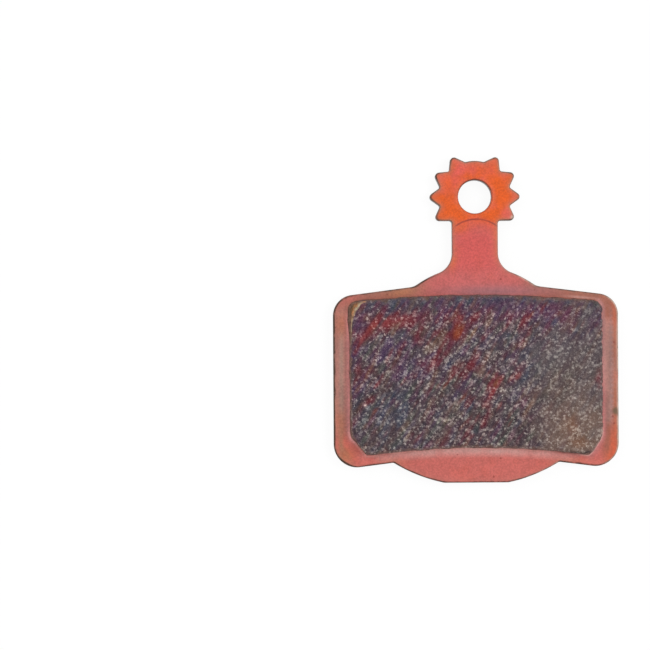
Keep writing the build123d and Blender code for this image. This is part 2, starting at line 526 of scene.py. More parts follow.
def blockColumns():
    # Even columns, with the end ones spaced as the corner's arc needs
    half = block["width"] / 2
    angle = np.radians(np.linspace(0, 90, block["cornerColumns"], endpoint=False))
    end = block["topCorner"] * (1 - np.cos(angle))
    count = int((block["width"] - 2 * block["topCorner"]) / block["columnStep"])
    middle = np.linspace(-half + block["topCorner"], half - block["topCorner"], count)
    return np.concatenate((-half + end, middle, half - end[::-1]))


def raggedEdge(x, y, seed):
    # How far the edge has crumbled in: fine raggedness and a few deeper bites
    fine = np.abs(noiseAt(x, y, seed, 0.16))
    bites = ease(1.3, 2.8, noiseAt(x, y, seed + 1, 0.3))
    return block["ragged"] * fine + block["bite"] * bites


def blockGrid(crumbled):
    # Columns across, rows from the lower edge to the upper one, which is worn lower at the right; crumbled 1
    # pulls the borders in and cuts the notch, 0 leaves them whole. The sides move in by a high power of x
    half = block["width"] / 2
    column = blockColumns()[None, :]
    share = np.linspace(0, 1, block["rows"])[:, None]
    bottom = blockBottom(column)
    top = blockTop(column)
    notch = block["notchDepth"] * band(block["notchX"], block["notchWidth"], column)
    low = bottom + crumbled * (raggedEdge(column, bottom, block["lowSeed"]) + notch)
    worn = block["wornTop"] * span(*block["wornSpan"], column)
    high = top - worn - crumbled * raggedEdge(column, top, block["highSeed"])
    y = low + share * (high - low)
    side = crumbled * raggedEdge(np.sign(column) * half, y, block["sideSeed"])
    x = column - np.sign(column) * side * np.abs(column / half) ** block["sideFade"]
    return x, y, low, high


def chipDrop(x, y):
    # Height lost to the crumbled corner: a slope that reaches its depth at the corner;
    # its upper edge is across^bow + down^bow = 1, bowed towards the corner and a little wavy
    cornerX = -block["width"] / 2
    cornerY = arcAt(block["top"], block["topArc"], cornerX)
    across = np.clip((x - cornerX) / block["chipAcross"], 0, None)
    down = np.clip((cornerY - y) / block["chipDown"], 0, None)
    bow = block["chipBow"]
    wave = block["chipWave"] * noiseAt(x, y, 31, 0.3)
    return block["chipDepth"] * np.clip(1 - across ** bow - down ** bow + wave, 0, 1)


def faceRelief(x, y):
    # Depth of the ground face: pits between grains, fine grain and shallow diagonal grinding marks
    pits = ease(0.5, 2.4, noiseAt(x, y, 41, 0.11))
    grain = np.clip(1.5 - noiseAt(x, y, 42, 0.07), 0, 3)
    grind = np.clip(1.5 - noiseAt(x, y, 43, 1.6, 0.09, grindAngle), 0, 3)
    return block["grainDepth"] * (pits + 0.25 * grain) + block["grindDepth"] * grind


def wallGrid(rim, rimHeight, foot):
    # From the crumbled rim down to the whole outline on the plate; the wall bows out early, is pitted inwards
    # and spreads at its foot, with the fourth power of the way down, as pressed compound does
    down = np.linspace(0, 1, block["wallRows"] + 1)[1:, None]
    height = rimHeight + (block["base"] - rimHeight) * down
    x, y = foot.T
    rough = np.abs(noiseAt(x + 3 * height, y + 2 * height, 51, 0.12)) * np.sin(down * np.pi)
    flare = block["footFlare"] * (1 + block["flareWander"] * np.clip(noiseAt(x, y, 53, 0.3), -2, 2))
    flare = flare + block["chipFlare"] * patch(x, y, block["chipCorner"], block["flareSize"])
    out = flare * down ** 4 - block["wallRough"] * rough
    spread = np.sin(down * np.pi / 2)[..., None]
    xy = rim[None] + (foot - rim)[None] * spread + out[..., None] * outwardNormals(foot)[None]
    return np.concatenate((xy, height[..., None]), 2)


def plugGrid(centre, seed):
    # A profile of radii and heights turned about a key hole's axis, with a rough end
    radius = plate["keyHole"] / 2 - block["plugGap"]
    end = block["plugRecess"]
    inset, rise = block["plugBend"]
    count = block["plugRings"]
    flatRadii = np.linspace(radius - block["plugChamfer"], block["plugPole"], count)
    radii = np.concatenate(([radius, radius, radius, radius - inset], flatRadii))
    bends = [block["base"], block["plugStraight"], end + block["plugChamfer"], end + rise]
    heights = np.concatenate((bends, np.full(count, end)))
    angle = np.linspace(0, 2 * np.pi, block["plugPoints"], endpoint=False)
    x = centre[0] + radii[:, None] * np.cos(angle)
    y = centre[1] + radii[:, None] * np.sin(angle)
    share = ease(0.0, 0.9, radius - radii)[:, None]
    lumps = block["plugLump"] * noiseAt(x, y, seed, 0.3) + block["plugGrain"] * noiseAt(x, y, seed + 1, 0.12)
    sink = block["plugSink"] * ease(0.4, 1.9, noiseAt(x, y, seed + 2, 0.5))
    z = heights[:, None] + share * np.clip(lumps + sink, -0.2, 0.4)
    return np.stack((x, y, z), 2), (*centre, end)


def buildBlock():
    # The face as a height field, the wall below its border, four plugs, and the underside filled in
    # between them
    x, y, low, high = blockGrid(1.0)
    wholeX, wholeY = blockGrid(0.0)[:2]
    border = np.minimum(np.minimum(high - y, y - low), block["width"] / 2 - np.abs(x))
    chip = chipDrop(x, y)
    rounding = block["faceRound"] * fade(0, block["roundReach"], border) ** 2
    crumble = block["chipRough"] * (chip > 0) * np.abs(noiseAt(x, y, 33, 0.12))
    z = block["face"] - faceRelief(x, y) - rounding - chip - crumble
    z = np.maximum(z, block["base"] + block["thinnest"])

    shell = Shell()
    faceIndex = shell.addGrid(np.stack((x, y, z), 2))
    shell.joinRows(faceIndex[::-1], False)
    outline = np.column_stack((ring(wholeX), ring(wholeY)))
    wallIndex = shell.addGrid(wallGrid(np.column_stack((ring(x), ring(y))), ring(z), outline))
    shell.joinRows(np.concatenate((ring(faceIndex)[None], wallIndex)), True)
    loops = [wallIndex[-1]]
    for number, place in enumerate(keyPlaces()):
        grid, tip = plugGrid(place, block["plugSeed"] + 5 * number)
        index = shell.addGrid(grid)
        shell.joinRows(index, True)
        pole = np.repeat(shell.add(np.array([tip])), index.shape[1])
        shell.triangles.append(np.column_stack((index[-1], pole, np.roll(index[-1], -1))))
        loops.append(index[0])
    shell.fill(loops, np.zeros((0, 2)), block["base"], False)
    return *shell.makePiece("frictionBlock"), outline, border.ravel()


blockPiece, blockPoints, blockOutline, faceBorder = buildBlock()
platePiece, platePoints, plateEdge = buildPlate(blockOutline)


# Material helpers

noiseSpan = (0.3, 0.7)         # where most values of a noise node lie


def paint(red, green, blue):
    # A colour as a picture shows it, 0 to 255, made linear
    value = np.array([red, green, blue]) / 255
    value = np.where(value <= 0.04045, value / 12.92, ((value + 0.055) / 1.055) ** 2.4)
    return (*value.tolist(), 1.0)


class Finish:
    # The nodes of one material or world, with short names for the kinds used most
    def __init__(self, owner):
        owner.use_nodes = True
        self.tree = owner.node_tree
        self.tree.nodes.clear()

    def node(self, kind, inputs=None, **settings):
        # One node; each input gets a fixed value or another node's output
        made = self.tree.nodes.new("ShaderNode" + kind)
        for name, value in settings.items():
            setattr(made, name, value)
        for name, value in (inputs or {}).items():
            if isinstance(value, bpy.types.NodeSocket):
                self.tree.links.new(value, made.inputs[name])
            else:
                made.inputs[name].default_value = value
        return made

    def place(self):
        # Object coordinates in millimetres
        metres = self.node("TexCoord").outputs["Object"]
        return self.node("Mapping", {"Vector": metres, "Scale": (1 / mm, 1 / mm, 1 / mm)}).outputs[0]

    def mask(self, name):
        # The piece's own number of that name
        return self.node("Attribute", attribute_name=name).outputs["Fac"]

    def coat(self, share, under, over, blend="MIX"):
        # One colour over another, by a share
        inputs = {0: share, 6: under, 7: over}
        return self.node("Mix", inputs, data_type="RGBA", blend_type=blend).outputs[2]

    def math(self, operation, first, second=0.0):
        # One operation on one or two numbers
        return self.node("Math", {0: first, 1: second}, operation=operation).outputs[0]

    def times(self, first, second):
        # Product of two numbers
        return self.math("MULTIPLY", first, second)

    def plus(self, first, second):
        # Sum of two numbers
        return self.math("ADD", first, second)

    def minus(self, first, second):
        # The first number less the second
        return self.math("SUBTRACT", first, second)

    def step(self, value, low, high, start=0.0, end=1.0):
        # Smooth step from start to end while the value goes from low to high
        inputs = {"Value": value, "From Min": low, "From Max": high, "To Min": start, "To Max": end}
        return self.node("MapRange", inputs, interpolation_type="SMOOTHSTEP").outputs[0]

    def vector(self, operation, first, second):
        # One operation on two vectors
        return self.node("VectorMath", {0: first, 1: second}, operation=operation).outputs

    def noise(self, place, scale, detail=2.0, roughness=0.55, output=0):
        # Soft noise of a given scale per millimetre
        inputs = {"Vector": place, "Scale": scale, "Detail": detail, "Roughness": roughness}
        return self.node("TexNoise", inputs).outputs[output]

    def cells(self, place, scale):
        # Two random numbers for each grain, and the distance from the grain's middle
        made = self.node("TexVoronoi", {"Vector": place, "Scale": scale})
        tone = self.node("SeparateColor", {0: made.outputs["Color"]})
        return tone.outputs[0], tone.outputs[1], made.outputs["Distance"]

    def seen(self):
        # 1 where a surface shows: to the camera, in a reflection or through glass
        path = self.node("LightPath").outputs
        seen = self.math("MAXIMUM", path["Is Camera Ray"], path["Is Glossy Ray"])
        return self.math("MAXIMUM", seen, path["Is Transmission Ray"])

    def close(self, colour, metallic, roughness, shine, bump, depth):
        # The shader with its bump, and the material's output
        normal = self.node("Bump", {"Height": bump, "Distance": depth * mm, "Strength": 1.0}).outputs[0]
        shader = self.node("BsdfPrincipled", {
            "Base Color": colour, "Metallic": metallic, "Roughness": roughness,
            "Specular IOR Level": shine, "Normal": normal})
        self.node("OutputMaterial", {"Surface": shader.outputs[0]})


# Finish of the plate: heat-tinted copper plating in front, dark paint on the walls and the back

copper = {
    "bare": paint(191, 99, 91), "darkRed": paint(128, 50, 42), "stain": paint(92, 80, 60),
    # Next: the dark edge, painted shade for the block's foot and a painted sheen; then a painted highlight
    # and the paints
    "edge": paint(56, 46, 38), "footShade": paint(92, 54, 46), "edgeSheen": paint(138, 126, 110),
    "highlightTone": paint(196, 172, 156), "paint": paint(108, 105, 99), "paintDark": paint(84, 82, 78),
    "field": paint(34, 33, 33), "fieldHalf": (6.33, 3.52), "fieldY": -0.2, "fieldSoft": 0.03,
    "fieldHeight": (0.06, 0.02), "fieldShare": (0.7, 1.0),
    "arcCentre": (0.17, 14.64, 1.9), "arcRadius": 4.35, "arcWidth": 0.17, "arcFrom": (17.9, 18.3),
    "arcShare": (0.35, 0.8),
    "stainPlace": (17.95, -5.65, 1.9), "stainReach": 0.8, "stainShare": 0.85,
    "speckScale": 0.9, "speckRare": 0.72, "speckSize": 0.17, "speckShare": 0.65, "speckBelow": (13.0, 11.0),
    "fineScale": 4.5, "cloudScale": 0.6, "gritScale": 7.0,
    "fineShade": (0.85, 1.15), "cloudShade": (-0.05, 0.05),
    "stripeShade": (0.85, 1.15), "shearShade": (0.6, 1.7),
    "shearHeight": (0.25, 0.65), "shearShare": 0.9, "rimShare": 0.9,
    "metallic": (0.45, 0.95), "roughness": (0.4, 0.54), "rimGloss": 0.12, "shine": 0.4, "bump": 0.012,
}


def maskPlate(piece, points, outline, blockOutline):
    # Tints, wear, and painted light and shade as numbers at the plate's points, from places, distances to the
    # edges and soft noise; gives the tints' names and colours
    x, y, z = points.T
    thick = plate["thickness"]
    pinRadius = plate["pinHole"] / 2
    arcX, arcY = copper["arcCentre"][:2]
    edgeDistance, edgeNumber = nearest(points[:, :2], outline)
    blockDistance = nearest(points[:, :2], blockOutline)[0]
    pinDistance = np.hypot(x, y - plate["tabDistance"])
    holeDistance = np.abs(pinDistance - pinRadius)
    facing = outwardNormals(outline)[edgeNumber]
    blotch = noiseAt(x, y, 71, 1.3)
    mottle = noiseAt(x, y, 72, 0.4)

    # Zones of the front
    onSides = ease(14.5, 16.3, np.abs(x)) * span(-9.6, -7.4, 6.0, 8.6, y)
    onLeft = onSides * (x < 0)
    onRight = onSides * (x > 0)
    onTop = ease(5.0, 8.5, np.abs(x)) * span(5.5, 7.5, 10.6, 11.6, y)
    onBody = fade(11.0, 13.0, y)
    onTab = ease(18.2, 18.8, y)
    onStem = (1 - onBody) * (1 - onTab)
    onTips = ease(4.9, 5.6, pinDistance) * onTab
    onBulge = fade(10.2, 10.8, np.abs(x)) * fade(-12.0, -11.0, y)
    besideBlock = fade(0.25, 0.75, blockDistance)
    arcHeight = arcY + np.sqrt(np.clip(copper["arcRadius"] ** 2 - (x - arcX) ** 2, 0, None))
    belowArc = fade(0.0, 0.5, y - arcHeight)

    def spots(*rows):
        # Sum of patches at the piece's own points
        return patches(x, y, rows)

    # Each tint lies over the ones before it: name, colour, and where it shows
    tints = [
        ("tabCoral", paint(206, 88, 54), ease(16.6, 19.2, y + 0.3 * blotch)),
        ("tabPink", paint(212, 88, 76), 0.3 * mottle * ease(16.6, 19.2, y) + spots(
            (-0.6, 25.3, 1.7, 0.55, 0, 0.6), (-3.0, 23.9, 0.8, 0.9, 0, 0.6),
            (3.9, 20.0, 0.7, 0.9, 0, 0.7), (1.6, 24.6, 0.9, 0.8, 0, 0.4))),
        ("tabOrange", paint(212, 86, 24), 0.3 * noiseAt(x, y, 74, 0.35) * ease(17.0, 19.0, y)
         + ease(16.0, 17.5, y) * spots(
            (3.1, 21.7, 1.0, 1.5, 0, 1.2), (-2.5, 19.3, 1.5, 1.1, 35, 1.4), (2.0, 19.4, 1.3, 0.6, 15, 1.3),
            (-0.3, 24.4, 1.4, 0.3, 0, 0.8), (-4.5, 21.8, 0.7, 0.5, 0, 0.8), (3.9, 24.2, 0.9, 0.9, 0, 0.8),
            (-2.0, 18.2, 0.9, 0.8, 30, 0.9), (-3.4, 20.6, 1.0, 0.8, 0, 0.6), (2.8, 17.4, 0.3, 1.2, 0, 0.5))),
        ("stemSalmon", paint(196, 84, 80), 0.05 * mottle + belowArc * spots(
            (0.2, 15.6, 3.4, 2.0, 0, 1.1), (0.0, 13.2, 5.0, 1.6, 0, 0.7))),
        ("bulgeRose", paint(190, 96, 94), spots((0.0, 11.0, 8.5, 1.3, 0, 0.9))),
        ("topBrown", paint(158, 100, 86), onTop * (0.85 + 0.08 * blotch)),
        ("topRose", paint(190, 100, 92), spots(
            (-15.6, 9.3, 1.6, 0.5, 25, 0.8), (-17.4, 6.6, 0.5, 1.4, 0, 0.6),
            (9.5, 9.6, 1.4, 0.5, -8, 0.5), (15.8, 8.8, 1.5, 0.6, -35, 0.3))),
        ("ochre", paint(184, 118, 78), spots(
            (-9.3, 9.7, 1.5, 0.4, 8, 0.7), (-10.8, -12.0, 1.2, 0.35, 0, 0.4),
            (12.6, 9.6, 1.2, 0.3, -8, 0.3), (12.2, -12.1, 1.4, 0.3, 0, 0.5))),
        ("leftTan", paint(178, 120, 110), 0.9 * onLeft),
        ("leftGrey", paint(158, 130, 117), onLeft * (0.8 * band(1.05, 0.35, edgeDistance) + 0.1 * mottle)),
        ("leftPink", paint(158, 104, 94), 0.6 * onLeft * band(0.5, 0.2, edgeDistance)),
        ("rightTan", paint(162, 119, 110), 0.95 * onRight),
        ("rightBrown", paint(152, 91, 74), 0.95 * ease(15.6, 16.8, x) * span(-13.0, -11.0, -8.0, -6.5, y)
         + 0.95 * ease(14.0, 16.0, x) * ease(5.5, 7.0, y) + 0.5 * onTop * (x > 0)),
        ("flareRed", paint(180, 86, 80), spots(
            (4.7, 13.0, 1.6, 0.8, -30, 0.8), (-4.7, 13.0, 1.6, 0.8, 30, 0.35))),
        ("stemOrange", paint(206, 92, 58), spots(
            (-2.9, 13.5, 0.35, 0.7, -20, 0.7), (-2.75, 15.8, 0.2, 1.8, 0, 0.35),
            (-1.7, 17.95, 0.65, 0.4, 15, 0.85), (2.75, 16.8, 0.25, 1.1, 0, 0.75),
            (2.8, 14.6, 0.2, 0.8, 0, 0.5))),
        ("rightMauve", paint(154, 118, 114), 0.7 * onRight * band(0.85, 0.2, edgeDistance)),
        ("rightOrange", paint(158, 92, 70), onRight * (0.8 + 0.15 * blotch) * band(0.42, 0.22, edgeDistance)),
        ("leftOrange", paint(190, 104, 72), spots(
            (-16.8, -11.4, 1.0, 0.9, 40, 0.9), (-17.2, 5.6, 0.7, 1.1, 0, 0.6),
            (-17.4, -7.0, 0.6, 1.2, 0, 0.5))),
        ("cornerOrange", paint(198, 88, 56), 0.06 * mottle + spots(
            (17.6, -9.6, 0.3, 2.0, 0, 0.95), (17.3, -12.0, 0.7, 0.9, -35, 0.9),
            (17.7, 6.9, 0.25, 1.2, 10, 0.35), (-17.3, -8.6, 0.6, 1.4, 0, 0.3))),
        ("footCoral", paint(205, 100, 90), spots(
            (-13.5, -12.2, 2.2, 0.5, 5, 0.7), (14.0, -12.4, 2.2, 0.4, -5, 0.8))),
        # Pink tint below the block, partly the plating's tint and partly painted light that cancels the
        # block's shade
        ("footPink", paint(212, 162, 155), fade(0.4, 1.5, blockDistance) * fade(-9.6, -8.8, y) * (
            0.35 * fade(11.5, 13.5, np.abs(x)) + 0.1 * mottle + spots((0.0, -10.5, 7.0, 3.0, 0, 0.55)))),
        ("cornerStreak", paint(150, 112, 86), spots(
            (-17.3, -9.4, 0.2, 1.6, 0, 0.7), (-16.6, -11.0, 0.2, 0.8, 30, 0.5))),
        ("mauveBand", paint(160, 104, 108), spots((2.6, 9.75, 5.0, 0.55, 0, 0.95))),
        # Pink bands beside the block at the left and the right, partly tint and partly painted light that
        # cancels the block's shade
        ("rose", paint(226, 150, 147), 0.85 * besideBlock * span(-10.2, -9.0, 6.0, 8.0, y) * (x < 0)),
        ("palePink", paint(184, 128, 125), 0.85 * besideBlock * ease(15.0, 16.0, x)
         * span(-4.0, 0.0, 8.4, 9.4, y)),
        ("lowPink", paint(190, 117, 116), 0.8 * fade(0.25, 0.85, blockDistance) * ease(13.5, 15.5, x)
         * fade(-4.0, 0.0, y)),
        # Painted highlight: a pale line along the block's edge at its upper right, lower right and lower left
        ("pinkHighlight", paint(226, 180, 172), spots((13.4, 8.92, 1.3, 0.1, -5, 0.45))
         + 0.65 * band(0.17, 0.1, blockDistance) * ease(11.0, 14.5, x) * fade(-9.0, -7.0, y)
         + 0.3 * band(0.22, 0.14, blockDistance) * fade(-13.0, -12.0, x) * fade(-8.4, -7.6, y)),
    ]

    # Along the edges: a dark rim, widest at the left and on the tooth tips, partly the edge's own colour and
    # partly painted shade; inside it a painted sheen, a painted highlight line at the right, and painted
    # shade where the block meets the plate
    toLeft = ease(-0.1, 0.7, -facing[:, 0])
    toRight = ease(0.1, 0.7, facing[:, 0])
    toFoot = np.clip(-facing[:, 1], 0, 1)
    nearEdge = edgeDistance + 0.025 * mottle
    aboveHole = ease(0.0, 0.9, (y - plate["tabDistance"]) / pinRadius)
    # The rim is the edge's own dark colour and painted shade: wider and darker on edges facing left and down,
    # away from the light
    rimWidth = 0.15 + onBody * (0.1 * toLeft + 0.05 * toFoot) * (1 - 0.8 * onBulge) + 0.1 * onTips
    rimShare = (onBody * (0.6 - 0.5 * facing[:, 0] + 0.3 * toFoot) + onStem * 0.08
                + onTab * (0.35 - 0.2 * facing[:, 0]) + 0.3 * onTips
                + 0.12 * mottle + 0.2 * noiseAt(x, y, 76, 0.14) * onBody)
    # Painted sheen inside the rim, standing in for the edge rounding's reflection, strongest on the tab
    sheenShare = (onBody * (0.3 - 0.1 * facing[:, 0] + spots((-17.2, -12.0, 1.5, 1.5, 0, 0.4)))
                 + onStem * 0.45 + onTab * (0.95 + 0.1 * mottle))
    # Painted highlights: a line on the right-facing edges, thin lines each side of the pin hole, and a glint
    # on a tooth tip
    highlightShare = toRight * (0.65 * onBody + 0.1 * onStem) * ease(thick - 0.28, thick - 0.14, z)
    holeHighlight = 0.35 * band(0.17, 0.06, holeDistance) * np.abs(x) / pinRadius
    giveMasks(piece, {name: values for name, colour, values in tints} | {
        "front": ease(thick - 0.5, thick - 0.3, z),
        # Dark rim: the edge's own colour and painted shade, and a dark ring round the pin hole, darker above
        # it as painted shade
        "rim": fade(-0.07, 0.07, nearEdge - rimWidth) * np.clip(rimShare, 0, 1)
        + fade(0.08, 0.2, holeDistance) * (0.4 + 0.5 * aboveHole),
        # Painted sheen
        "edgeSheen": sheenShare * np.exp(-edgeDistance / (0.3 - 0.1 * onTab)),
        # Painted highlights
        "pale": fade(0.1, 0.24, nearEdge) * highlightShare + holeHighlight * (y > plate["tabDistance"] - 3)
        + spots((4.8, 19.2, 0.16, 0.16, 0, 1.0)),
        # Painted shade along the block's foot, deeper at its left, and in a line under its lower right edge
        "contact": fade(0.08, 0.2, blockDistance) * (0.12 + 0.1 * mottle + 0.2 * (x < -15))
        + spots((11.8, -11.0, 1.6, 0.1, -6, 0.5)),
        "shear": 0.5 + 0.25 * shearLines(outline)[edgeNumber],
        "stripe": 0.5 + 0.25 * noiseAt(x, y, 75, 1.6, 0.1, 90) * onSides,
    })
    return [(name, colour) for name, colour, values in tints]


def platedSteel(tints):
    # Tints over bare copper times a fine grain, then marks, painted sheen, highlight and shade, and the dark
    # rim; grained paint shows where the plating ends
    material = bpy.data.materials.new("platedSteel")
    make = Finish(material)
    place = make.place()
    axes = make.node("SeparateXYZ", {0: place}).outputs
    fine = make.noise(place, copper["fineScale"], 3.0, 0.6)
    cloud = make.noise(place, copper["cloudScale"], 3.0, 0.6)
    colour = copper["bare"]
    for name, tone in tints:
        colour = make.coat(make.mask(name), colour, tone)
    shade = make.plus(make.step(fine, *noiseSpan, *copper["fineShade"]),
                      make.step(cloud, *noiseSpan, *copper["cloudShade"]))
    shade = make.times(shade, make.step(make.mask("stripe"), 0.0, 1.0, *copper["stripeShade"]))
    colour = make.coat(1.0, colour, shade, "MULTIPLY")

    # Dark red specks, the thin arc where the tab's tint ends, and a stain at the right edge
    tone, _, distance = make.cells(place, copper["speckScale"])
    specks = make.times(make.step(tone, copper["speckRare"], copper["speckRare"] + 0.02),
                        make.step(distance, copper["speckSize"], 0.08))
    specks = make.times(specks, make.step(axes[1], *copper["speckBelow"], 0.0, copper["speckShare"]))
    colour = make.coat(specks, colour, copper["darkRed"])
    fromCentre = make.vector("DISTANCE", place, copper["arcCentre"])["Value"]
    offLine = make.math("ABSOLUTE", make.minus(fromCentre, copper["arcRadius"]))
    line = make.times(make.step(offLine, copper["arcWidth"], 0.03), make.step(axes[1], *copper["arcFrom"]))
    line = make.times(line, make.step(cloud, 0.25, 0.6, *copper["arcShare"]))
    colour = make.coat(line, colour, copper["darkRed"])
    fromStain = make.vector("DISTANCE", place, copper["stainPlace"])["Value"]
    stain = make.step(fromStain, copper["stainReach"], 0.2, 0.0, copper["stainShare"])
    colour = make.coat(stain, colour, copper["stain"])
    # Painted sheen and painted highlight near the edges, and painted shade at the block's foot
    for name, tone in (("edgeSheen", "edgeSheen"), ("pale", "highlightTone"), ("contact", "footShade")):
        colour = make.coat(make.mask(name), colour, copper[tone])
    # Dark rim: the edge's own colour, with painted shade on edges facing away from the light
    rim = make.mask("rim")
    colour = make.coat(make.times(rim, copper["rimShare"]), colour, copper["edge"])

    # Paint: fine grain, a plain dark field between the key holes at the back, and the sheared wall above it
    grit = make.noise(place, copper["gritScale"], 2.0, 0.7)
    painted = make.coat(make.step(grit, 0.35, 0.65), copper["paintDark"], copper["paint"])
    offX = make.math("ABSOLUTE", axes[0])
    offY = make.math("ABSOLUTE", make.minus(axes[1], copper["fieldY"]))
    soft = copper["fieldSoft"]
    sides = [make.step(off, half + soft, half - soft) for off, half in zip((offX, offY), copper["fieldHalf"])]
    field = make.times(make.times(*sides), make.step(axes[2], *copper["fieldHeight"]))
    field = make.times(field, make.step(grit, 0.7, 0.45, *copper["fieldShare"]))
    painted = make.coat(field, painted, copper["field"])
    sheared = make.coat(1.0, copper["edge"], make.step(make.mask("shear"), 0.0, 1.0, *copper["shearShade"]),
                        "MULTIPLY")
    upWall = make.step(axes[2], *copper["shearHeight"], 0.0, copper["shearShare"])
    painted = make.coat(upWall, painted, sheared)

    plated = make.mask("front")
    colour = make.coat(plated, painted, colour)
    metallic = make.times(plated, make.step(rim, 0.0, 1.0, *copper["metallic"]))
    roughness = make.step(fine, 0.2, 0.8, *copper["roughness"])
    roughness = make.minus(roughness, make.times(rim, copper["rimGloss"]))
    make.close(colour, metallic, roughness, copper["shine"], fine, copper["bump"])
    return material


# Finish of the block: dark sintered metal, pale flecks, heat colours in diagonal streaks

compound = {
    "matrix": paint(80, 64, 69), "dark": paint(38, 31, 36), "cream": paint(208, 190, 160),
    "chip": paint(148, 110, 74), "chipGold": paint(190, 116, 62), "chipFoot": paint(112, 83, 48),
    # Walls, their pale grains, and the colour of a painted highlight at the lower right cut
    "side": paint(128, 100, 90), "sideGrain": paint(182, 160, 146), "sideHighlight": paint(178, 138, 130),
    "plug": paint(122, 112, 100), "soot": paint(52, 42, 36), "rust": paint(112, 66, 44),
    "fineScale": 6.5, "cloudScale": 0.9, "bendScale": 4.0, "bend": 0.55,
    "coarseScale": 3.6, "smallScale": 8.0,
    "streakShade": (0.95, 1.05), "fineShade": (0.95, 1.05),
    "chipShade": (0.65, 1.35), "crumbShade": (0.72, 1.25),
    "sideShade": (0.7, 1.3), "cloudShade": (0.82, 1.18),
    "fleckLift": 0.35, "fleckMean": 0.12, "fleckGrey": 0.45, "fleckReach": (0.85, 1.55), "gritLift": 0.15,
    "calmLift": 0.7, "glintLift": 0.35, "liftTint": (1.05, 1.0, 0.91, 1), "darkest": (0.1, 0.1, 0.1, 1),
    "displayGamma": 2.2, "goldShare": 0.8, "chipShare": 0.92, "grainShare": 0.6, "wallShare": 0.75,
    "pitShare": 0.85, "rustShare": 0.8,
    "metallic": 0.4, "roughness": (0.72, 0.5), "shine": 0.25, "bump": 0.02,
}


